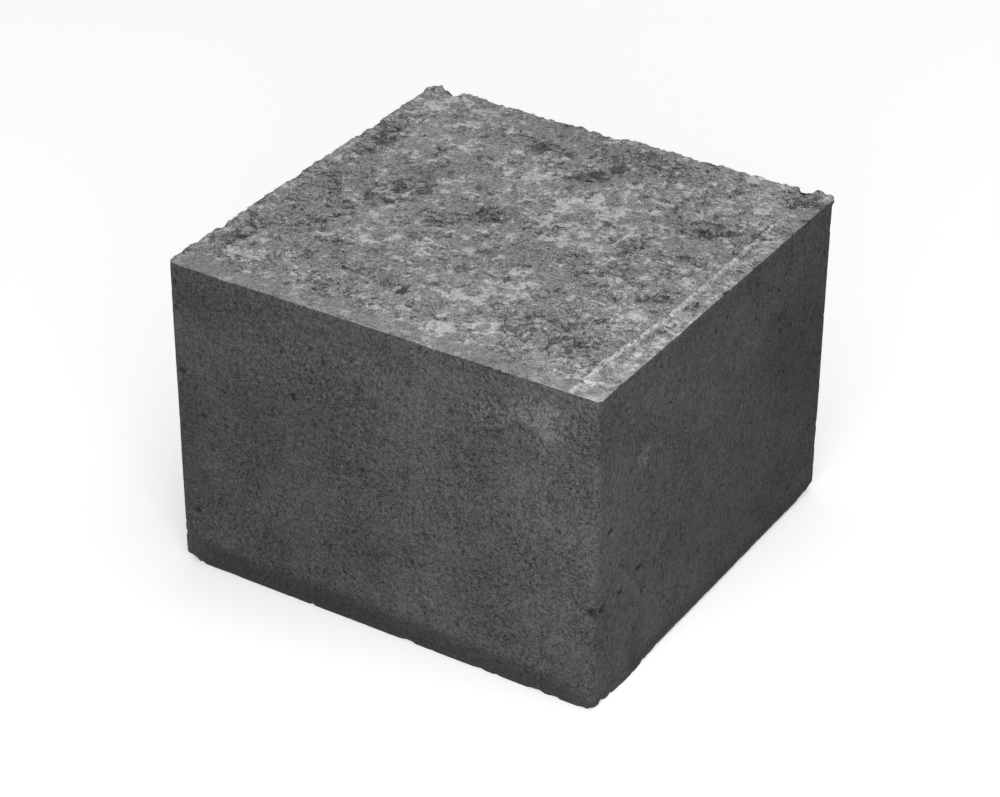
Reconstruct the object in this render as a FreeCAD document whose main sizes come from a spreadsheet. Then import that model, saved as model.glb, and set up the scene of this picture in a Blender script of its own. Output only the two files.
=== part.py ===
"""Half wall block: one solid pressed-concrete masonry unit.

The block stands on its lower bed with its origin at the centre of that face, +Z up, +X along its
length and +Y along its depth. It is a rectangular prism with plumb walls. A narrow sloped arris runs
right round the foot, the four upright corners are rounded down to the ground, and the upper bed ends
in a fine rolled edge. All sizes are in millimetres.
"""
import FreeCAD, Part

import os

import Sketcher

PARTS_FOLDER = "parts"
BLOCK_LABEL = "half_wall_block"

# Driving dimensions: alias, value, what it is.
SIZES = (
    ("block_length", 208.0, "overall length along X"),
    ("block_depth", 200.0, "overall depth along Y"),
    ("block_height", 150.0, "overall height along Z"),
    ("foot_arris_height", 4.0, "height of the sloped arris round the foot"),
    ("foot_arris_inset", 1.5, "how far the arris draws each side in at the ground"),
    ("corner_radius", 2.5, "rounding of the upright corners"),
    ("upper_edge_radius", 0.8, "rolled edge round the upper bed"),
)

# Two heights closer than this are the same level.
LEVEL_TOLERANCE = 1e-4

# Sketcher's names for the ends of a line and for the sketch's origin.
START, END = 1, 2
ORIGIN = (-1, 1)


def make_size_sheet(doc):
    """The spreadsheet that holds every driving dimension under an alias."""
    sheet = doc.addObject("Spreadsheet::Sheet", "Sizes")
    for row, (alias, value, meaning) in enumerate(SIZES, start=1):
        sheet.set(f"A{row}", alias)
        sheet.set(f"B{row}", str(value))
        sheet.set(f"C{row}", meaning)
        sheet.setAlias(f"B{row}", alias)
    doc.recompute()
    return sheet


def origin_plane(body, role):
    """The body's own origin plane with that role, such as XY_Plane."""
    return next(item for item in body.Origin.OriginFeatures if item.Role == role)


def draw_plan(body, sheet):
    """The block's plan at ground level: a rectangle centred on the Z axis."""
    plan = body.newObject("Sketcher::SketchObject", "Plan")
    plan.AttachmentSupport = [(origin_plane(body, "XY_Plane"), "")]
    plan.MapMode = "FlatFace"

    half_x, half_y = sheet.block_length / 2, sheet.block_depth / 2
    corners = [
        FreeCAD.Vector(side_x * half_x, side_y * half_y, 0)
        for side_x, side_y in ((-1, -1), (1, -1), (1, 1), (-1, 1))
    ]
    front, right, back, left = [
        plan.addGeometry(Part.LineSegment(corner, corners[(number + 1) % 4]), False)
        for number, corner in enumerate(corners)
    ]
    for line, following in ((front, right), (right, back), (back, left), (left, front)):
        plan.addConstraint(Sketcher.Constraint("Coincident", line, END, following, START))
    for direction, line in (("Horizontal", front), ("Horizontal", back), ("Vertical", right), ("Vertical", left)):
        plan.addConstraint(Sketcher.Constraint(direction, line))
    plan.addConstraint(Sketcher.Constraint("Symmetric", front, START, back, START, *ORIGIN))
    length = plan.addConstraint(Sketcher.Constraint("DistanceX", front, START, front, END, 2 * half_x))
    depth = plan.addConstraint(Sketcher.Constraint("DistanceY", right, START, right, END, 2 * half_y))
    plan.setExpression(f"Constraints[{length}]", "Sizes.block_length")
    plan.setExpression(f"Constraints[{depth}]", "Sizes.block_depth")
    return plan


def edges_at_level(shape, level):
    """Names of the edges that lie flat at that height."""
    return [
        f"Edge{number}"
        for number, edge in enumerate(shape.Edges, start=1)
        if max(abs(vertex.Z - level) for vertex in edge.Vertexes) < LEVEL_TOLERANCE
    ]


def rising_edges(shape):
    """Names of the edges that climb from one level to another."""
    return [
        f"Edge{number}"
        for number, edge in enumerate(shape.Edges, start=1)
        if abs(edge.Vertexes[0].Z - edge.Vertexes[-1].Z) > LEVEL_TOLERANCE
    ]


def make_block(doc, sheet):
    """The block as one body: a prism, its foot arris, its rounded corners and its upper edge."""
    body = doc.addObject("PartDesign::Body", "Block")
    body.Label = BLOCK_LABEL
    plan = draw_plan(body, sheet)
    doc.recompute()

    prism = body.newObject("PartDesign::Pad", "Prism")
    prism.Profile = plan
    prism.setExpression("Length", "Sizes.block_height")
    doc.recompute()

    foot = body.newObject("PartDesign::Chamfer", "FootArris")
    foot.Base = (prism, edges_at_level(prism.Shape, 0))
    foot.ChamferType = "Two distances"
    foot.setExpression("Size", "Sizes.foot_arris_height")
    foot.setExpression("Size2", "Sizes.foot_arris_inset")
    doc.recompute()

    corners = body.newObject("PartDesign::Fillet", "UprightCorners")
    corners.Base = (foot, rising_edges(foot.Shape))
    corners.setExpression("Radius", "Sizes.corner_radius")
    doc.recompute()

    upper_edge = body.newObject("PartDesign::Fillet", "UpperEdge")
    upper_edge.Base = (corners, edges_at_level(corners.Shape, float(sheet.block_height)))
    upper_edge.setExpression("Radius", "Sizes.upper_edge_radius")
    body.Tip = upper_edge
    doc.recompute()
    return body


def check_document(doc, pieces):
    """Stops the build if any object failed to recompute or any piece isn't one closed solid."""
    for item in doc.Objects:
        if {"Invalid", "Error"} & set(item.State):
            raise RuntimeError(f"{item.Label} did not recompute: {item.State}")
    for piece in pieces:
        shape = piece.Shape
        if shape.isNull() or not shape.isValid() or len(shape.Solids) != 1:
            raise RuntimeError(f"{piece.Label} is not one valid solid")


def write_parts(pieces):
    """Writes each piece to its own STEP file, named after its label."""
    os.makedirs(PARTS_FOLDER, exist_ok=True)
    for piece in pieces:
        piece.Shape.exportStep(os.path.join(PARTS_FOLDER, f"{piece.Label}.step"))


def main():
    doc = FreeCAD.newDocument("HalfWallBlock")
    sheet = make_size_sheet(doc)
    pieces = [make_block(doc, sheet)]
    check_document(doc, pieces)
    write_parts(pieces)
    for piece in pieces:
        shape = piece.Shape
        print(f"{piece.Label}: {len(shape.Faces)} faces, volume {shape.Volume / 1e6:.4f} litres")


main()
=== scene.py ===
"""Half wall block: the visible skin, the concrete and the studio for one pressed-concrete half block.

Laid out as a Blender add-on and run as a script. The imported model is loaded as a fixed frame. The skin is
one closed surface worked out with numpy, with its relief in real geometry, and the concrete is procedural.
Shapes are worked out in millimetres and made in metres.
"""

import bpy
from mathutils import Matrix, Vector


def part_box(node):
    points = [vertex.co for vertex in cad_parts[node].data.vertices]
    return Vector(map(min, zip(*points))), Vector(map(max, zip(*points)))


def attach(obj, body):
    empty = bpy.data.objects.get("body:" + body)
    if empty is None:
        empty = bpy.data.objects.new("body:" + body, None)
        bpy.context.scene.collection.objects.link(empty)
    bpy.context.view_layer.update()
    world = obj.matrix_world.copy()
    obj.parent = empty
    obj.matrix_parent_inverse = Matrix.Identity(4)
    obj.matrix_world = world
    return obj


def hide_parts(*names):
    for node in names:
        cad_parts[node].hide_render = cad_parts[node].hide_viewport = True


bl_info = {
    "name": "Half wall block",
    "version": (1, 0, 0),
    "blender": (4, 5, 0),
    "location": "3D View > Sidebar > Half block",
    "description": "Builds the pressed-concrete skin of a half wall block and its studio",
    "category": "Object",
}

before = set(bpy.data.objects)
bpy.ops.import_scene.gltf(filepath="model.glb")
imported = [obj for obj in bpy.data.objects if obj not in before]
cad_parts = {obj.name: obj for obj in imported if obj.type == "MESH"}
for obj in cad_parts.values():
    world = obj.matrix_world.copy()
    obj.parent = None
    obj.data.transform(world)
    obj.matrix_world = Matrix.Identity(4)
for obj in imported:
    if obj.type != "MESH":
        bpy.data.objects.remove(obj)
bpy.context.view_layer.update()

import math

import bpy
import numpy as np
from mathutils import Matrix, Vector

NODE = "half_wall_block"
MM = 0.001

# Sizes of the block and its marks, in millimetres.
LOW, HIGH = (np.array(corner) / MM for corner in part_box(NODE))
HALF_X, HALF_Y, HEIGHT = (HIGH[0] - LOW[0]) / 2, (HIGH[1] - LOW[1]) / 2, HIGH[2]
FLAT = 1e-6
RIDGE_INSET, RIDGE_DRIFT = 10, 3.5
BAND_HEIGHT, RIGHT_BAND_HEIGHT = 13, 8.5

# Chips, broken corners and the larger air pits, listed one by one: a place on the block, in millimetres from
# the middle of the lower bed, the half-size of the bite along X, Y and Z, and its depth. A negative depth is
# a crumb of paste that stands proud.
BITES = (
    # ragged ends of the rear upper edge
    ((-91, 100, 150), (5, 5, 3), 1.9),
    ((-99, 100, 150), (4, 5, 3), -0.9),
    ((-103, 97, 150), (3, 4, 3), -1.0),
    ((90, 100, 150), (5, 5, 3), 1.8),
    ((97, 100, 150), (4, 4, 3), -0.7),
    ((103, 97, 150), (3, 4, 3), -1.1),
    ((-8, 100, 150), (6, 3, 2), 0.8),
    ((44, 100, 150), (7, 3, 2), 0.7),
    ((72, 100, 150), (4, 3, 2), 0.6),
    # left and right upper edges
    ((-104, 52, 150), (3, 6, 2), 0.7),
    ((-104, -8, 150), (3, 5, 2), 0.6),
    ((-104, -62, 150), (3, 4, 2), 0.8),
    ((104, 2, 150), (3, 4, 2), 1.0),
    ((104, -84, 150), (2, 3, 2), 0.6),
    # broken foot corners
    ((-103, -100, 0), (5, 5, 5), 1.7),
    ((-97, -100, 0), (2, 3, 3), 0.5),
    ((104, 98, 0), (6, 7, 6), 1.6),
    ((104, 90, 1), (4, 4, 4), 0.6),
    ((104, -100, 0), (4, 4, 4), 0.6),
    ((104, -92, 0), (3, 3, 3), 0.7),
    ((104, -85, 0), (3, 2.5, 2), 0.5),
    ((104, -72, 0), (5, 30, 5), -0.9),
    ((104, -58, 0), (3, 3, 2.5), 0.7),
    ((-104, 99, 0), (6, 6, 5), 1.2),
    ((99, -100, 0), (3, 3, 2), 0.5),
    # right rear upright corner
    ((104, 100, 27), (3, 3, 5), 0.8),
    ((104, 100, 36), (2.5, 2.5, 3), 0.6),
    # large pit on the front upright corner and its neighbours
    ((103, -100, 50), (3.4, 3.4, 3.0), 2.3),
    ((104, -94, 49), (2.4, 3.0, 2.0), 1.2),
    ((104, -89, 84), (1.5, 3.0, 2.0), 1.3),
    ((104, -80, 49), (1.5, 2.6, 1.8), 1.2),
    ((104, -64, 52), (1.5, 3.6, 2.4), 1.4),
    ((104, 31, 123), (1.5, 1.8, 1.5), 1.1),
    ((104, 57, 84), (1.5, 2.2, 1.6), 1.0),
    ((104, -6, 135), (1.5, 2.0, 1.4), 0.9),
    ((104, 61, 34), (1.5, 1.6, 2.4), 0.9),
    # pits on the front wall
    ((-100, -100, 98), (2.6, 1.5, 2.2), 1.4),
    ((-90, -100, 79), (2.4, 1.5, 1.7), 1.3),
    ((-96, -100, 29), (2.6, 1.5, 1.6), 1.2),
    ((-60, -100, 27), (2.2, 1.5, 1.5), 1.0),
    ((-57, -100, 16), (2.0, 1.5, 1.4), 0.9),
    ((86, -100, 84), (1.8, 1.5, 1.5), 1.2),
    ((63, -100, 83), (1.6, 1.5, 1.4), 1.0),
    ((-18, -100, 25), (1.5, 1.5, 1.5), 1.1),
    ((37, -100, 46), (1.7, 1.5, 1.3), 1.0),
    ((-8, -100, 80), (2.0, 1.5, 2.2), 0.9),
    ((-9, -100, 119), (1.7, 1.5, 1.7), 0.9),
    ((15, -100, 130), (1.4, 1.5, 1.2), 0.9),
    ((74, -100, 54), (1.4, 1.5, 1.2), 0.9),
)

# Pale lime bloom, and dark patches that are partly stain and partly painted shade, on the upper bed the
# shade of clustered open holes: a place, the half-size along X, Y and Z, and a strength.
BLOOMS = (
    ((23, -65, 150), (21, 5.5, 4), 1.0),
    ((39, -75, 150), (8, 6, 4), 0.7),
    ((20, -84, 150), (8, 5, 4), 0.85),
    ((30, 28, 150), (46, 36, 4), 0.42),
    ((36, 15, 150), (19, 15, 4), 0.5),
    ((14, 38, 150), (13, 10, 4), 0.5),
    ((-58, 6, 150), (8, 8, 4), 0.95),
    ((-53, -38, 150), (9, 6, 4), 0.9),
    ((-24, -38, 150), (14, 6, 4), 0.8),
    ((-43, -49, 150), (6, 4, 4), 0.7),
    ((-4, -26, 150), (10, 4, 4), 0.95),
    ((-41, 32, 150), (8, 9, 4), 0.7),
    ((-80, -76, 150), (25, 19, 4), 0.55),
    ((80, -38, 150), (13, 14, 4), 0.5),
    ((98, -58, 150), (6, 46, 4), 0.75),
    ((-84, 86, 150), (20, 13, 4), 0.45),
    ((-55, 90, 150), (30, 9, 4), 0.4),
    ((96, 20, 150), (7, 16, 4), 0.4),
    ((0, 93, 150), (5, 8, 4), 0.6),
    ((37, -34, 150), (9, 7, 4), 0.6),
    ((10, -48, 150), (60, 10, 4), 0.3),
    ((104, -60, 107), (20, 7, 11), 0.8),
    ((104, -30, 118), (20, 16, 6), 0.35),
    ((104, -72, 128), (20, 5, 7), 0.35),
    ((78, -100, 134), (26, 30, 14), 0.8),
    ((52, -100, 128), (14, 30, 10), 0.5),
)
# Dark patches: partly stain and partly painted shade; on the upper bed they paint the shade of clustered
# open holes.
STAINS_AND_SHADE = (
    ((8, 66, 150), (19, 12, 4), 1.0),
    ((-26, 72, 150), (24, 17, 4), 0.7),
    ((48, 15, 150), (14, 14, 4), 1.0),
    ((70, 48, 150), (19, 13, 4), 0.9),
    ((78, 13, 150), (10, 7, 4), 1.0),
    ((-16, 8, 150), (22, 11, 4), 0.95),
    ((-57, 4, 150), (13, 26, 4), 0.8),
    ((-36, -6, 150), (17, 12, 4), 0.7),
    ((80, -21, 150), (12, 11, 4), 0.95),
    ((83, -78, 150), (13, 8, 4), 0.7),
    ((-14, -72, 150), (20, 9, 4), 0.7),
    ((-45, -84, 150), (18, 8, 4), 0.7),
    ((-97, -60, 150), (7, 27, 4), 0.9),
    ((-95, 34, 150), (10, 52, 4), 0.6),
    ((-70, -34, 150), (14, 20, 4), 0.6),
    ((94, 90, 150), (16, 12, 4), 0.8),
    ((60, -66, 150), (34, 22, 4), 0.45),
    ((30, 84, 150), (50, 12, 4), 0.4),
    ((-45, -100, 88), (34, 30, 36), 0.5),
    ((-96, -100, 70), (14, 30, 64), 0.6),
    ((-4, -100, 42), (30, 30, 24), 0.35),
    ((-14, -100, 143), (44, 30, 12), 0.6),
    ((-90, -100, 134), (16, 30, 14), 0.7),
    ((104, 62, 92), (30, 46, 44), 0.8),
    ((104, 98, 70), (30, 60, 90), 0.7),
    ((104, 30, 20), (30, 70, 34), 0.35),
    ((104, -66, 14), (20, 8, 24), 1.0),
    ((104, 0, 144), (20, 70, 7), 0.4),
    ((-104, 30, 90), (30, 50, 50), 0.5),
    ((10, 100, 80), (60, 30, 50), 0.5),
)


# Lamps: a name, a place in metres, a power in watts and the side of the square in metres.
LAMPS = (
    ("left_lamp", (-1.1, -0.5, 0.8), 2.0, 0.9),
    ("right_lamp", (1.2, 0.3, 0.9), 0.6, 0.9),
    ("top_lamp", (0.3, 0.5, 1.6), 7.5, 1.2),
    ("front_lamp", (0.25, -0.44, 0.25), 1.7, 0.3),
)


def smoothstep(low, high, value):
    """0 below low, 1 above high, and 3t^2 - 2t^3 of the share t in between; high may be under low."""
    t = np.clip((value - low) / (high - low), 0, 1)
    return t * t * (3 - 2 * t)


def chance_of(cell, seed):
    """A number from 0 to 1 for each whole-number cell (N, 3): the cell's three counts times large odd
    numbers, folded together with the seed, and mixed by shifts and products that wrap at 32 bits."""
    i, j, k = cell.astype(np.int64).astype(np.uint32).T
    mixed = i * np.uint32(73856093) ^ j * np.uint32(19349663) ^ k * np.uint32(83492791)
    mixed ^= np.uint32(seed * 2654435761 % 2**32)
    mixed = (mixed ^ (mixed >> np.uint32(16))) * np.uint32(2246822519)
    mixed = (mixed ^ (mixed >> np.uint32(13))) * np.uint32(3266489917)
    return (mixed ^ (mixed >> np.uint32(16))) / 2.0**32


def noise(points, size, seed):
    """Smooth noise from -1 to 1: the chances at the eight corners of the cube of that size round each point,
    blended along X, Y and Z by 3t^2 - 2t^3 of the point's share of the cube."""
    scaled = points / size
    cell = np.floor(scaled)
    share = scaled - cell
    share = share * share * (3 - 2 * share)
    total = 0
    for corner in np.ndindex(2, 2, 2):
        weight = np.prod(np.where(corner, share, 1 - share), axis=1)
        total = total + weight * chance_of(cell + corner, seed)
    return 2 * total - 1


def fractal(points, size, octaves, seed):
    """Sum of noises, each half the size and half the height of the one before, over the sum of heights."""
    layers = [noise(points + 37.1 * n, size / 2**n, seed + n) / 2**n for n in range(octaves)]
    return sum(layers) / sum(1 / 2**n for n in range(octaves))


def warped(points, size, reach, seed):
    """Points moved along each axis by their own noise of that size, by up to reach."""
    return points + reach * np.stack([noise(points, size, seed + axis) for axis in range(3)], axis=1)


def pits(points, cell_size, share, radii, seed):
    """Depth of round air pits. Each cube of a lattice may hold one pit, at a chance place in it and with a
    radius that is mostly near the smaller of radii. Its depth is the radius times 1 - (distance / radius)^2,
    and a point takes the deepest pit of the 27 cubes round it."""
    scaled = points / cell_size
    home = np.floor(scaled)
    depth = np.zeros(len(points))
    for offset in np.ndindex(3, 3, 3):
        cell = home + offset - 1
        centre = cell + np.stack([chance_of(cell, seed + n) for n in range(3)], axis=1)
        radius = radii[0] + (radii[1] - radii[0]) * chance_of(cell, seed + 3) ** 3
        radius = np.where(chance_of(cell, seed + 4) < share, radius, 1e-6)
        distance = np.linalg.norm(scaled - centre, axis=1) * cell_size
        depth = np.maximum(depth, radius * (1 - (distance / radius) ** 2))
    return depth


def patches(points, marks):
    """Sum of soft ellipsoids: each is its strength times (1 - r^2)^2, where r is the distance from its place
    in half-sizes, and nothing past its edge."""
    total = np.zeros(len(points))
    for place, half_size, strength in marks:
        square = (((points - place) / half_size) ** 2).sum(axis=1)
        total += strength * np.clip(1 - square, 0, 1) ** 2
    return total


def box_lattice(step):
    """The plain box as six grids of two parameters that share their border points: points (N, 3) in
    millimetres and outward quads (M, 4). Grid points are numbered by their three lattice counts."""
    sizes = np.array([2 * HALF_X, 2 * HALF_Y, HEIGHT])
    counts = np.round(sizes / step).astype(int)
    strides = np.array([1, counts[0] + 1, (counts[0] + 1) * (counts[1] + 1)])
    quads = []
    for axis in range(3):
        first, second = (axis + 1) % 3, (axis + 2) % 3
        u, v = np.meshgrid(np.arange(counts[first] + 1), np.arange(counts[second] + 1), indexing="ij")
        for end in (0, counts[axis]):
            number = u * strides[first] + v * strides[second] + end * strides[axis]
            ring = [number[:-1, :-1], number[1:, :-1], number[1:, 1:], number[:-1, 1:]]
            ring = ring if end else ring[::-1]
            quads.append(np.stack(ring, axis=-1).reshape(-1, 4))
    numbers, quads = np.unique(np.concatenate(quads), return_inverse=True)
    lattice = np.stack([numbers // strides[n] % (counts[n] + 1) for n in range(3)], axis=1)
    points = lattice / counts * sizes - [HALF_X, HALF_Y, 0]
    return points, quads.reshape(-1, 4)


def round_corners(points, radius):
    """Rounds the four upright corners. Past the corner's centre, a point at (a, b) moves along its own line
    from there to max(a, b), so the corner's square becomes a quarter disc."""
    inner = np.array([HALF_X - radius, HALF_Y - radius])
    side = np.sign(points[:, :2])
    beyond = np.maximum(np.abs(points[:, :2]) - inner, 0)
    length = np.maximum(np.hypot(*beyond.T), 1e-9)
    in_corner = (beyond > 0).all(axis=1)
    factor = np.where(in_corner, beyond.max(axis=1) / length, 1.0)
    points[:, :2] += side * beyond * (factor - 1)[:, None]


def slope_foot(points, height, inset):
    """Draws the plan in towards the ground, by nothing at that height and by inset at the bed."""
    drawn = inset * np.clip(1 - points[:, 2] / height, 0, 1)
    points[:, 0] *= 1 - drawn / HALF_X
    points[:, 1] *= 1 - drawn / HALF_Y


def normals_of(points, quads):
    """Unit normals at the points: the cross products of the quads' diagonals, summed over each point."""
    first = points[quads[:, 2]] - points[quads[:, 0]]
    second = points[quads[:, 3]] - points[quads[:, 1]]
    across = np.cross(first, second)
    total = np.stack([
        sum(np.bincount(quads[:, corner], across[:, axis], len(points)) for corner in range(4))
        for axis in range(3)
    ], axis=1)
    return total / np.linalg.norm(total, axis=1, keepdims=True)


def ridge_line(bed_y):
    """X of the thin ridge on the upper bed: its inset from the right edge, plus its drift at the front."""
    return HALF_X - RIDGE_INSET - RIDGE_DRIFT * smoothstep(-20, -80, bed_y)


def foot_band(plain):
    """Share of the smooth dark band round the foot, from 0 to 1. It is 8 to 13 mm high with a soft ragged
    top, and fades out towards the upright corners."""
    x, y, z = plain.T
    along = np.minimum(HALF_X - np.abs(x) + HALF_Y - np.abs(y), 40)
    front = smoothstep(-HALF_Y + 1, -HALF_Y, y)
    right = smoothstep(HALF_X - 1, HALF_X, x) * (1 - front)
    top = BAND_HEIGHT + (RIGHT_BAND_HEIGHT - BAND_HEIGHT) * right - 0.01 * x * front
    top = top + 1.6 * noise(plain, size=9, seed=71) + 0.8 * noise(plain, size=3, seed=72)
    start = np.where(right > 0.5, smoothstep(-76, -66, y), smoothstep(1, 16, along))
    return smoothstep(top + 3, top - 3.5, z) * (0.2 + 0.8 * start)


def relief(plain, bloom, stain_and_shade, settings):
    """How far each point of the plain box moves along its normal, in millimetres: grain, lip, ridge, pits,
    open clots in the dark patches of the bed, and bites. Returns the movement and the hollows' depth."""
    x, y, z = plain.T
    to_border = np.minimum(HALF_X - np.abs(x), HALF_Y - np.abs(y))
    on_bed = z > HEIGHT - FLAT
    on_ground = z < FLAT
    from_edge = (HEIGHT - z) + to_border
    rough = np.where(on_bed, settings.bed_grain, settings.wall_grain) / MM

    # The presser leaves the strip along the front edge of the bed smoother than the rest.
    strip_y = y + 0.6 * noise(plain, size=6, seed=5)
    front_strip = smoothstep(-HALF_Y + 10, -HALF_Y + 8, strip_y) * on_bed
    rough = rough * (1 - 0.45 * front_strip) * (1 - 0.6 * on_ground)
    lumps = 0.8 * fractal(plain, size=9, octaves=3, seed=11)
    move = rough * (lumps + 0.7 * noise(plain, size=2.4, seed=15) + 0.5 * noise(plain, size=1.3, seed=16))
    move += 0.16 * fractal(plain, size=46, octaves=2, seed=21)

    # Thin ridge and the strip outside it on the bed.
    wander = 0.5 * noise(plain, size=11, seed=33) + 0.3 * noise(plain, size=3, seed=34)
    beyond = x - ridge_line(y) + wander
    broken = smoothstep(-0.5, 0.2, noise(plain * [1, 0.25, 1], size=4, seed=31))
    reach = smoothstep(82, 55, y)
    crest = 0.7 * np.exp(-(beyond / 0.8) ** 2) * (0.4 + 0.6 * broken)
    move += on_bed * reach * (crest - 0.35 * smoothstep(-0.5, 0.8, beyond))

    # Lip of squeezed paste round the upper edge: high and ragged at the rear and left, low elsewhere.
    rear = smoothstep(HALF_Y - 6, HALF_Y, y)
    left = smoothstep(-HALF_X + 6, -HALF_X, x)
    front = smoothstep(-HALF_Y + 6, -HALF_Y, y)
    share = np.maximum(0.9 * rear, 0.25 + 0.12 * left - 0.1 * front)
    ragged = 0.3 + 0.6 * noise(plain, size=6.0, seed=41) + 0.6 * noise(plain, size=2.6, seed=42)
    ragged = ragged + 0.8 * noise(plain, size=1.4, seed=43)
    move += settings.lip_height / MM * share * ragged * np.exp(-(from_edge / 1.1) ** 2)

    # The walls' crests stand a little proud, and the foot edge is crumbled.
    crumbs = np.clip(noise(plain, size=6, seed=51) - 0.4, 0, 1)
    crumbs = crumbs + 0.9 * np.clip(noise(plain, size=2.5, seed=52) - 0.3, 0, 1)
    from_foot = z + to_border
    move += 0.15 * ~on_ground - 0.9 * crumbs * np.exp(-((from_foot / 2.5) ** 2))

    band = foot_band(plain)
    dense_foot = smoothstep(0, 4, from_foot)

    # Air pits: drawn out upwards on the walls by the stripping of the mould, fewer on the dark foot band.
    stretch = np.where(on_bed[:, None], [1.0, 1.0, 1.0], [1.0, 1.0, 0.62])
    bent = warped(plain * stretch, size=1.4, reach=0.55, seed=63)
    small = pits(bent, cell_size=3.4, share=settings.pit_share, radii=(0.35, 1.05), seed=61)
    large = pits(bent, cell_size=9.0, share=0.3 * settings.pit_share, radii=(0.7, 1.6), seed=81)
    clusters = smoothstep(-0.55, 0.25, noise(plain, size=17, seed=91))
    depth = np.maximum(small, large) * (0.25 + 0.75 * clusters)
    depth = depth * (1 - 0.7 * band) * (1 - 0.5 * front_strip) * dense_foot

    # Open clots: wide in the dark patches of the bed, finer on the walls.
    curdled = fractal(warped(plain, size=3, reach=1.2, seed=111), size=4.6, octaves=3, seed=115)
    bed_clot = 0.65 * smoothstep(0.3, 0.42, curdled + 0.32 * stain_and_shade - 0.3 * bloom)
    open_grain = fractal(warped(plain, size=2, reach=0.9, seed=131), size=2.8, octaves=2, seed=135)
    wall_clot = 0.4 * smoothstep(0.3, 0.5, open_grain + 0.12 * (clusters - 1)) * (1 - 0.8 * band)
    clot = np.where(on_bed, bed_clot * (1 - 0.7 * front_strip), wall_clot) * dense_foot
    big = 1.35 * patches(warped(plain, size=3.0, reach=0.9, seed=95), BITES)
    move -= settings.pit_depth * depth + clot + big
    return np.where(on_ground, np.minimum(move, 0), move), depth + clot + np.clip(big, 0, 1.5)


def skin_mesh(name, settings):
    """The block's skin: the box lattice with rounded corners and a sloped foot, moved along its normals."""
    plain, quads = box_lattice(settings.grid_step / MM)
    points = plain.copy()
    round_corners(points, settings.corner_radius / MM)
    slope_foot(points, settings.foot_height / MM, settings.foot_inset / MM)
    drifted = warped(warped(plain, size=22, reach=7, seed=101), size=6, reach=2.5, seed=105)
    drifted[:, 2] = plain[:, 2]
    bloom, stain_and_shade = (np.clip(patches(drifted, marks), 0, 1) for marks in (BLOOMS, STAINS_AND_SHADE))
    move, depth = relief(plain, bloom, stain_and_shade, settings)
    points += normals_of(points, quads) * move[:, None]
    points[:, 2] = np.maximum(points[:, 2], 0)

    mesh = bpy.data.meshes.new(name)
    mesh.from_pydata(points * MM, [], quads)
    shares = {
        "pit": np.clip(depth / 1.1, 0, 1),
        "bloom": bloom,
        "stain_and_shade": stain_and_shade,
        "foot": foot_band(plain),
        "bed": plain[:, 2] > HEIGHT - FLAT,
    }
    for mark, values in shares.items():
        mesh.attributes.new(mark, "FLOAT", "POINT").data.foreach_set("value", values.astype(np.float32))
    return mesh


def thin_out(piece, triangles):
    """Collapses the flattest edges until about that many triangles are left, and keeps the result as the
    piece's mesh, smooth apart from its sharp edges."""
    thinning = piece.modifiers.new("Thinning", "DECIMATE")
    thinning.ratio = triangles / (2 * len(piece.data.polygons))
    shaped = piece.evaluated_get(bpy.context.evaluated_depsgraph_get())
    mesh = bpy.data.meshes.new_from_object(shaped)
    full = piece.data
    piece.modifiers.clear()
    mesh.name = full.name
    piece.data = mesh
    bpy.data.meshes.remove(full)
    mesh.shade_smooth()
    mesh.set_sharp_from_angle(angle=math.radians(50))


class Wire:
    """A socket in a shader tree, with arithmetic: an expression on wires adds its Math nodes."""

    def __init__(self, tree, socket):
        self.tree = tree
        self.socket = socket

    def math(self, operation, *values, clamp=False):
        """A Math node on the values, kept within 0 and 1 if clamp is set."""
        return self.tree.node("ShaderNodeMath", {"operation": operation, "use_clamp": clamp}, *values)

    def __add__(self, other):
        return self.math("ADD", self, other)

    def __sub__(self, other):
        return self.math("SUBTRACT", self, other)

    def __mul__(self, other):
        return self.math("MULTIPLY", self, other)

    def __truediv__(self, other):
        return self.math("DIVIDE", self, other)

    def __radd__(self, other):
        return self.math("ADD", other, self)

    def __rsub__(self, other):
        return self.math("SUBTRACT", other, self)

    def __rmul__(self, other):
        return self.math("MULTIPLY", other, self)

    def clamp(self):
        """The value kept within 0 and 1."""
        return self.math("ADD", self, 0.0, clamp=True)

    def over(self, low, high):
        """0 below low, 1 above high and a smooth step between; high may be under low."""
        if high < low:
            return 1 - self.over(high, low)
        settings = {"interpolation_type": "SMOOTHSTEP"}
        return self.tree.node("ShaderNodeMapRange", settings, self, low, high, 0.0, 1.0)


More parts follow.
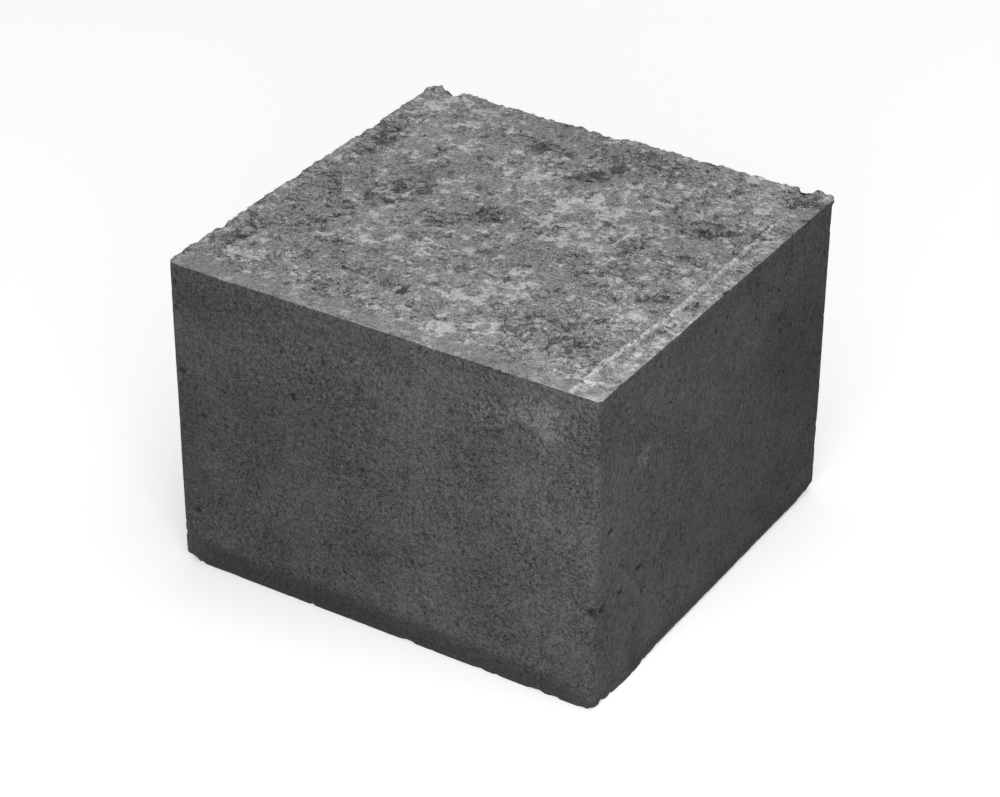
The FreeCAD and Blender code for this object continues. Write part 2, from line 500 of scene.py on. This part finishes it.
class Tree:
    """A material's node tree, emptied, with one method that adds any node."""

    def __init__(self, material):
        material.use_nodes = True
        self.nodes = material.node_tree.nodes
        self.links = material.node_tree.links
        self.nodes.clear()

    def node(self, kind, settings=None, *inputs, output=0, **named):
        """Adds a node of that type. settings are set first. inputs fill its enabled sockets in order and
        named ones by name, with values or wires, and None skips a socket. Gives a wire from its output."""
        node = self.nodes.new(kind)
        for key, value in (settings or {}).items():
            setattr(node, key, value)
        free = [socket for socket in node.inputs if socket.enabled]
        given = list(zip(free, inputs))
        given += [(node.inputs[key.replace("_", " ")], value) for key, value in named.items()]
        for socket, value in given:
            if isinstance(value, Wire):
                self.links.new(value.socket, socket)
            elif value is not None:
                socket.default_value = value
        if not node.outputs:
            return None
        if isinstance(output, str):
            return Wire(self, node.outputs[output])
        return Wire(self, [socket for socket in node.outputs if socket.enabled][output])

    def mark(self, name):
        """A share from 0 to 1 that the skin's points carry."""
        return self.node("ShaderNodeAttribute", {"attribute_name": name}, output="Fac")

    def parts(self, coords):
        """Wires for a vector's X, Y and Z."""
        split = self.node("ShaderNodeSeparateXYZ", None, coords, output="X").socket.node
        return [Wire(self, split.outputs[axis]) for axis in "XYZ"]

    def warped(self, coords, per_metre, reach):
        """Coordinates moved by a noise of their own, by about half of reach each way."""
        push = self.node(
            "ShaderNodeTexNoise", None, Vector=coords, Scale=per_metre, Detail=2.0, output="Color",
        )
        push = self.node("ShaderNodeVectorMath", {"operation": "SUBTRACT"}, push, (0.5, 0.5, 0.5))
        push = self.node("ShaderNodeVectorMath", {"operation": "SCALE"}, push, Scale=reach)
        return self.node("ShaderNodeVectorMath", {"operation": "ADD"}, coords, push)

    def stretched(self, coords, scale):
        """Coordinates scaled along each axis."""
        return self.node("ShaderNodeMapping", None, coords, Scale=scale)

    def noise(self, coords, per_metre, detail=3.0, rough=0.55):
        """Cloudy noise, about 0.5 on average."""
        settings = {"noise_dimensions": "3D"}
        return self.node(
            "ShaderNodeTexNoise", settings, Vector=coords, Scale=per_metre, Detail=detail, Roughness=rough,
            output="Fac",
        )

    def cells(self, coords, per_metre):
        """Distance to the nearest of a scatter of points."""
        return self.node(
            "ShaderNodeTexVoronoi", {"feature": "F1"}, Vector=coords, Scale=per_metre, Randomness=1.0,
            output="Distance",
        )


def grey(value):
    return (value, value, value, 1.0)


def concrete_material(settings):
    """Pressed concrete. The walls are dark, fine and pitted, with upright draw marks and a smooth dark foot;
    their darkness is partly their own paste and partly painted shade, and their pits, specks and cracks are
    darkened with painted shade. The upper bed is paler and open-grained, with lime bloom, a pale ridge line
    that is partly a painted highlight, and dark patches that are partly stain and partly the painted shade
    of clustered open holes."""
    material = bpy.data.materials.new("pressed_concrete")
    tree = Tree(material)
    place = tree.node("ShaderNodeTexCoord", output="Object")
    x, y = (axis / MM for axis in tree.parts(place)[:2])
    pit = tree.mark("pit")
    bloom = tree.mark("bloom")
    stain_and_shade = tree.mark("stain_and_shade")
    foot = tree.mark("foot")
    bed_share = tree.mark("bed")
    bent = tree.warped(place, 900.0, 0.0012)

    cloud = tree.noise(place, 28.0, detail=4.0)
    mottle = tree.noise(place, 170.0, detail=4.0, rough=0.6)
    grain = tree.noise(place, 520.0, detail=3.0, rough=0.7)
    sand = tree.noise(place, 1900.0, detail=1.0, rough=0.6)
    drawn = tree.noise(tree.stretched(place, (1.0, 1.0, 0.12)), 520.0, detail=3.0, rough=0.6)

    # Walls.
    # Painted shade: specks and cracks are fine hollows, sunk in the bump and darkened in colour where shade
    # falls.
    speck_shade = tree.cells(tree.stretched(bent, (1.0, 1.0, 0.75)), 420.0).over(0.3, 0.17)
    speck_shade = speck_shade * tree.noise(place, 80.0, detail=3.0).over(0.4, 0.56) * (1 - 0.8 * foot)
    crack_shade = tree.noise(bent, 460.0, detail=3.0, rough=0.65).over(0.59, 0.64)
    crack_shade = crack_shade * tree.noise(place, 62.0, detail=3.0).over(0.4, 0.58) * (1 - 0.8 * foot)
    flecks = tree.cells(bent, 240.0).over(0.15, 0.08) * tree.noise(place, 45.0).over(0.5, 0.65)
    wall = (
        1.02 + 1.2 * (cloud - 0.5) + 1.0 * (mottle - 0.5) + 2.7 * (grain - 0.5) + 3.6 * (sand - 0.5)
        + 0.4 * (drawn - 0.5)
    )
    wall = wall * (1 - 0.36 * stain_and_shade) * (1 - 0.54 * foot) * (1 - 0.35 * speck_shade) * (1 - 0.75 * crack_shade)
    wall = wall + 0.5 * flecks
    ragged = (mottle + 0.7 * (grain - 0.5) + 0.35 * bloom).over(0.5, 0.72) * bloom.over(0.02, 0.5)
    wall = wall * (1 + 0.55 * ragged)

    # Upper bed: the smoother strip along its front, and the thin pale ridge near its right edge, whose
    # paleness is partly a painted highlight on its lit flank.
    strip = (y + 5 * (mottle - 0.5)).over(-HALF_Y + 10.5, -HALF_Y + 7.0)
    ridge_x = HALF_X - RIDGE_INSET - RIDGE_DRIFT * y.over(-20.0, -80.0)
    beyond = x - ridge_x + 4 * (mottle - 0.5) + 3 * (grain - 0.5)
    reach = y.over(82.0, 55.0)
    # Painted highlight: the ridge line is made paler, partly for the light on its flank.
    ridge_highlight = (beyond.over(-1.3, -0.3) - beyond.over(0.4, 1.5)) * reach * grain.over(0.36, 0.5)
    outside = beyond.over(0.0, 0.8) * reach * y.over(50.0, -60.0) * mottle.over(0.4, 0.58)
    clots = tree.noise(bent, 330.0, detail=2.0, rough=0.6)
    crust = tree.noise(bent, 430.0, detail=3.0, rough=0.7)
    clumps = tree.noise(place, 95.0, detail=3.0, rough=0.6)
    # Painted shade: dark spots where open holes hold shade, also sunk in the bump.
    hole_shade = (clots + 0.2 * stain_and_shade - 0.05 * bloom + 0.55 * (clumps - 0.5)).over(0.585, 0.635)
    pale = crust + 0.22 * bloom - 0.12 * stain_and_shade + 1.1 * (mottle - 0.5) + 0.3 * (cloud - 0.5)
    pale = (pale + 0.5 * (clumps - 0.5)).over(0.585, 0.68)
    bed = (
        1 + 0.9 * (cloud - 0.5) + 1.2 * (mottle - 0.5) + 2.3 * (grain - 0.5) + 3.4 * (sand - 0.5)
        - 0.14 * stain_and_shade - 0.45 * hole_shade + 0.12 * bloom + 0.85 * pale
    )
    bed = bed + strip * 0.4 * (0.95 - bed) + 0.9 * ridge_highlight + 0.5 * outside

    on_bed = (bed_share + 0.6 * (grain - 0.5)).over(0.4, 0.8)
    # Painted shade: the colour darkens in pits, open clots and bites, where shade falls.
    pit_shade = pit.over(0.1, 0.75)
    # Painted shade: the walls' grey sits far under the bed's, partly for their own darker paste and partly
    # for the lower light they get.
    wall_grey_and_shade = settings.wall_grey_and_shade * wall
    bed_grey = settings.bed_grey * bed
    shade = (wall_grey_and_shade + on_bed * (bed_grey - wall_grey_and_shade)) * (1 - 0.6 * pit_shade)
    tone = tree.node("ShaderNodeCombineColor", None, shade, shade, shade)

    lumps = 0.5 * mottle + 0.6 * grain + 0.25 * sand - 0.6 * speck_shade - 0.6 * crack_shade - 0.45 * hole_shade
    lumps = lumps + 0.12 * drawn
    bump = tree.node(
        "ShaderNodeBump", None, Strength=0.55, Distance=settings.bump_height, Height=lumps, output="Normal",
    )
    roughness = (settings.roughness + 0.12 * (mottle - 0.5) - 0.06 * foot).clamp()
    skin = tree.node(
        "ShaderNodeBsdfPrincipled", None, Base_Color=tone, Roughness=roughness, Normal=bump,
    )
    skin.socket.node.inputs["Specular IOR Level"].default_value = 0.35
    tree.node("ShaderNodeOutputMaterial", None, skin)
    return material


class HalfBlockShape(bpy.types.PropertyGroup):
    """Sizes of the block's skin."""

    grid_step: bpy.props.FloatProperty(
        name="Grid step", description="Spacing of the surface points before thinning",
        default=0.6 * MM, min=0.3 * MM, unit="LENGTH",
    )
    triangles: bpy.props.IntProperty(
        name="Triangles", description="Triangles left in the skin after thinning", default=192000, min=2000,
    )
    corner_radius: bpy.props.FloatProperty(
        name="Corner radius", description="Rounding of the upright corners", default=2.5 * MM, unit="LENGTH",
    )
    foot_height: bpy.props.FloatProperty(
        name="Foot height", description="Height of the sloped arris round the foot",
        default=4.0 * MM, unit="LENGTH",
    )
    foot_inset: bpy.props.FloatProperty(
        name="Foot inset", description="How far the foot is drawn in at the ground",
        default=1.5 * MM, unit="LENGTH",
    )
    lip_height: bpy.props.FloatProperty(
        name="Lip height", description="Height of the ragged lip of paste round the upper edge",
        default=1.0 * MM, unit="LENGTH",
    )
    bed_grain: bpy.props.FloatProperty(
        name="Bed grain", description="Height of the grain on the upper bed",
        default=0.17 * MM, unit="LENGTH",
    )
    wall_grain: bpy.props.FloatProperty(
        name="Wall grain", description="Height of the grain on the walls",
        default=0.06 * MM, unit="LENGTH",
    )
    pit_share: bpy.props.FloatProperty(
        name="Pits", description="Share of the places that hold an air pit", default=0.5, min=0, max=1,
        subtype="FACTOR",
    )
    pit_depth: bpy.props.FloatProperty(
        name="Pit depth", description="Depth of a pit as a multiple of its radius", default=1.1, min=0,
    )


class HalfBlockConcrete(bpy.types.PropertyGroup):
    """Finish of the concrete."""

    # Partly painted shade: the walls are set darker than their own paste, for the lower light on them.
    wall_grey_and_shade: bpy.props.FloatProperty(
        name="Wall grey", description="Mean reflectance of the walls", default=0.066, min=0, max=1,
        subtype="FACTOR",
    )
    bed_grey: bpy.props.FloatProperty(
        name="Bed grey", description="Mean reflectance of the upper bed", default=0.248, min=0, max=1,
        subtype="FACTOR",
    )
    roughness: bpy.props.FloatProperty(
        name="Roughness", description="Mean roughness of the surface", default=0.9, min=0, max=1,
        subtype="FACTOR",
    )
    bump_height: bpy.props.FloatProperty(
        name="Fine relief", description="Height of the grain too fine for the mesh", default=0.5 * MM,
        unit="LENGTH",
    )


class HalfBlockStudio(bpy.types.PropertyGroup):
    """Camera, lamps and floor."""

    azimuth: bpy.props.FloatProperty(
        name="Azimuth", description="Camera's turn about the block, 0 facing the front wall",
        default=math.radians(31.916), subtype="ANGLE",
    )
    elevation: bpy.props.FloatProperty(
        name="Elevation", description="Camera's angle above the horizon", default=math.radians(31.507),
        subtype="ANGLE",
    )
    roll: bpy.props.FloatProperty(
        name="Roll", description="Camera's turn about its own line of sight", default=math.radians(-0.329),
        subtype="ANGLE",
    )
    distance: bpy.props.FloatProperty(
        name="Distance", description="Camera's distance from the block's middle", default=1.26003,
        subtype="DISTANCE",
    )
    slide: bpy.props.FloatVectorProperty(
        name="Slide", description="Camera's shift to its right and up",
        size=2, default=(-2.991 * MM, -7.872 * MM), subtype="XYZ",
    )
    lens: bpy.props.FloatProperty(name="Lens", description="Focal length in millimetres", default=103.73)
    floor_colour: bpy.props.FloatVectorProperty(
        name="Floor", description="Colour of floor and backdrop", size=3, default=(0.86, 0.86, 0.86),
        subtype="COLOR",
    )
    sky: bpy.props.FloatProperty(name="Sky", description="Strength of the even studio light", default=0.5)


class HALFBLOCK_OT_cast(bpy.types.Operator):
    """Makes the concrete skin that stands for the block"""

    bl_idname = "halfblock.cast"
    bl_label = "Cast block"

    def execute(self, context):
        shape, concrete = context.scene.half_block_shape, context.scene.half_block_concrete
        piece = bpy.data.objects.new("cast_concrete", skin_mesh("cast_concrete", shape))
        context.scene.collection.objects.link(piece)
        thin_out(piece, shape.triangles)
        piece.data.materials.append(concrete_material(concrete))
        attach(piece, "root")
        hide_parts(NODE)
        return {"FINISHED"}


def turned_to(place, target, roll=0.0):
    """Matrix of a lamp or camera at place, facing target."""
    facing = (Vector(target) - Vector(place)).to_track_quat("-Z", "Y").to_matrix().to_4x4()
    return Matrix.Translation(place) @ facing @ Matrix.Rotation(roll, 4, "Z")


def add_camera(scene, settings):
    """Camera on a sphere round the block's middle, slid sideways and up without turning."""
    a, e = settings.azimuth, settings.elevation
    back = Vector((math.sin(a) * math.cos(e), -math.cos(a) * math.cos(e), math.sin(e)))
    middle = Vector((0, 0, HEIGHT / 2 * MM))
    pose = turned_to(middle + back * settings.distance, middle, -settings.roll)
    pose.translation += pose.to_3x3() @ Vector((*settings.slide, 0))
    camera = bpy.data.objects.new("camera", bpy.data.cameras.new("camera"))
    camera.data.lens = settings.lens
    camera.data.sensor_width = 36.0
    camera.matrix_world = pose
    scene.collection.objects.link(camera)
    scene.camera = camera


def add_lamp(scene, name, place, watts, size):
    """A soft square lamp facing the middle of the block."""
    lamp = bpy.data.objects.new(name, bpy.data.lights.new(name, "AREA"))
    lamp.data.shape = "SQUARE"
    lamp.data.energy = watts
    lamp.data.size = size
    lamp.matrix_world = turned_to(place, (0, 0, HEIGHT / 2 * MM))
    scene.collection.objects.link(lamp)


def add_floor(scene, settings):
    """A pale sweep: a flat floor that curves up into a backdrop. In the view of the camera and of mirrors it
    is lifted towards white, and the block's shadow stays on it."""
    reach, rise, bend = 4.0, 4.0, 1.2
    turn = np.linspace(0, math.pi / 2, 13)
    run = np.concatenate([[-reach], reach + bend * np.sin(turn), [reach + bend]])
    lift = np.concatenate([[0.0], bend - bend * np.cos(turn), [rise]])
    across = np.array([-2 * reach, 2 * reach])
    points = np.stack([
        np.repeat(across, len(run)), np.tile(run, 2), np.tile(lift, 2),
    ], axis=1)
    count = len(run)
    near = np.arange(count - 1)
    quads = np.stack([near, near + count, near + count + 1, near + 1], axis=1)
    points = points @ np.array(Matrix.Rotation(-settings.azimuth, 3, "Z"))
    mesh = bpy.data.meshes.new("floor")
    mesh.from_pydata(points, [], quads)
    mesh.shade_smooth()
    floor = bpy.data.objects.new("floor", mesh)
    scene.collection.objects.link(floor)
    material = bpy.data.materials.new("pale_paper")
    tree = Tree(material)
    paper = tree.node("ShaderNodeBsdfDiffuse", None, grey(0.3))
    white = tree.node("ShaderNodeBsdfDiffuse", None, (*settings.floor_colour, 1.0))
    glow = tree.node("ShaderNodeEmission", None, grey(1.0), 0.33)
    lifted = tree.node("ShaderNodeAddShader", None, white, glow)
    path = tree.node("ShaderNodeLightPath", output="Is Camera Ray")
    mirror = tree.node("ShaderNodeLightPath", output="Is Glossy Ray")
    glass = tree.node("ShaderNodeLightPath", output="Is Transmission Ray")
    seen = (path + mirror + glass).clamp()
    tree.node("ShaderNodeOutputMaterial", None, tree.node("ShaderNodeMixShader", None, seen, paper, lifted))
    mesh.materials.append(material)


class HALFBLOCK_OT_stage(bpy.types.Operator):
    """Makes the camera, the lamps, the sky and the pale floor"""

    bl_idname = "halfblock.stage"
    bl_label = "Set the stage"

    def execute(self, context):
        scene, settings = context.scene, context.scene.half_block_studio
        add_camera(scene, settings)
        for lamp in LAMPS:
            add_lamp(scene, *lamp)
        add_floor(scene, settings)
        world = bpy.data.worlds.new("studio_sky")
        world.use_nodes = True
        background = world.node_tree.nodes["Background"]
        background.inputs["Color"].default_value = grey(1.0)
        background.inputs["Strength"].default_value = settings.sky
        scene.world = world
        scene.view_settings.view_transform = "Standard"
        return {"FINISHED"}


class HALFBLOCK_PT_panel(bpy.types.Panel):
    """Lists the block's sizes, its concrete and its studio"""

    bl_idname = "HALFBLOCK_PT_panel"
    bl_label = "Half wall block"
    bl_space_type = "VIEW_3D"
    bl_region_type = "UI"
    bl_category = "Half block"

    def draw(self, context):
        layout = self.layout
        for operator, group in (
            (HALFBLOCK_OT_cast, context.scene.half_block_shape),
            (HALFBLOCK_OT_cast, context.scene.half_block_concrete),
            (HALFBLOCK_OT_stage, context.scene.half_block_studio),
        ):
            column = layout.box().column()
            for name in group.__annotations__:
                column.prop(group, name)
            column.operator(operator.bl_idname)


CLASSES = (
    HalfBlockShape,
    HalfBlockConcrete,
    HalfBlockStudio,
    HALFBLOCK_OT_cast,
    HALFBLOCK_OT_stage,
    HALFBLOCK_PT_panel,
)
GROUPS = {
    "half_block_shape": HalfBlockShape,
    "half_block_concrete": HalfBlockConcrete,
    "half_block_studio": HalfBlockStudio,
}


def register():
    for item in CLASSES:
        bpy.utils.register_class(item)
    for name, group in GROUPS.items():
        setattr(bpy.types.Scene, name, bpy.props.PointerProperty(type=group))


def unregister():
    for name in GROUPS:
        delattr(bpy.types.Scene, name)
    for item in reversed(CLASSES):
        bpy.utils.unregister_class(item)


def main():
    register()
    bpy.ops.halfblock.stage()
    bpy.ops.halfblock.cast()


if __name__ == "__main__":
    main()
